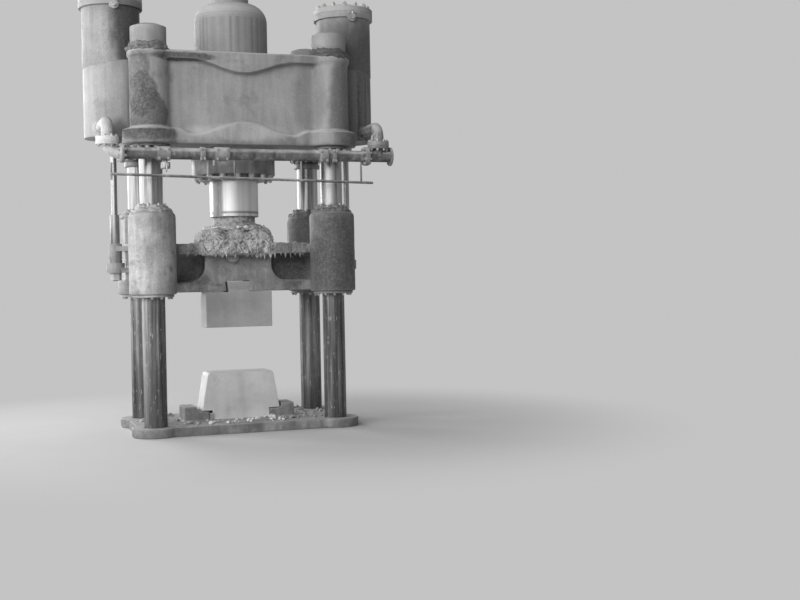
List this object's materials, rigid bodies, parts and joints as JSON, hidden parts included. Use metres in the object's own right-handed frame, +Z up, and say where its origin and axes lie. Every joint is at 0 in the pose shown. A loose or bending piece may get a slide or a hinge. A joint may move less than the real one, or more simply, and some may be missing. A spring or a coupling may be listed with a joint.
{
  "type": "four-column forging press",
  "caption": "Four-column steam-hydraulic forging press: head with main and lift cylinders above, sliding crosshead with tool between the columns, anvil tool on the bed.",
  "frame": {"origin": "on the floor in the middle between the four columns, at the bed's underside", "axes": "+X to the right of someone facing the press, +Y to its back, +Z up along the ram"},
  "size_m": [3.27, 1.71, 4.9],
  "materials": {
    "painted_casting": "old grey machine paint on rough cast iron, oily and dusty",
    "crosshead_iron": "scale-dusted cast steel, worn bare on the edges",
    "bed_iron": "oily cast iron under forge scale",
    "polished_steel": "turned and polished by sliding, oily and dark low down",
    "machined_steel": "machined steel dulled by dust and grease",
    "tool_steel": "heat-dulled forged tool steel with scale marks",
    "pipe_steel": "dull steam pipe with dust on top",
    "bronze": "dull bearing bronze"
  },
  "bodies": {
    "frame": {"bed_casting": "bed_iron", "lower_tool": "tool_steel", "lower_tool_key": "tool_steel", "column_front_left": "polished_steel", "column_front_right": "polished_steel", "column_rear_left": "polished_steel", "column_rear_right": "polished_steel", "column_nut_front_left": "machined_steel", "column_nut_front_right": "machined_steel", "column_nut_rear_left": "machined_steel", "column_nut_rear_right": "machined_steel", "column_check_rings": "machined_steel", "head_casting": "painted_casting", "main_cylinder": "painted_casting", "main_inlet_flange": "machined_steel", "main_gland": "machined_steel", "lift_saddle_left": "painted_casting", "lift_saddle_right": "painted_casting", "lift_cylinder_left": "painted_casting", "lift_cylinder_right": "painted_casting", "lift_cover_left": "machined_steel", "lift_cover_right": "machined_steel", "lift_gland_left": "machined_steel", "lift_gland_right": "machined_steel", "steam_pipe": "pipe_steel", "steam_elbow_left": "pipe_steel", "steam_tee_right": "pipe_steel", "steam_branch_left": "pipe_steel", "steam_branch_right": "pipe_steel", "drain_pipe": "pipe_steel", "drain_cock": "pipe_steel"},
    "crosshead": {"crosshead_casting": "crosshead_iron", "guide_bushes": "bronze", "guide_glands": "crosshead_iron", "guide_wipers": "crosshead_iron", "main_ram": "polished_steel", "upper_tool": "tool_steel", "upper_tool_key": "tool_steel", "lift_rod_left": "polished_steel", "lift_rod_right": "polished_steel", "lift_lug_left": "crosshead_iron", "lift_lug_right": "crosshead_iron", "lift_nut_left": "machined_steel", "lift_nut_right": "machined_steel"}
  },
  "joints": [
    {"name": "crosshead_slide", "type": "slide", "parent": "frame", "child": "crosshead", "axis": [0, 0, 1], "range_m": [-0.48, 0.42]}
  ]
}
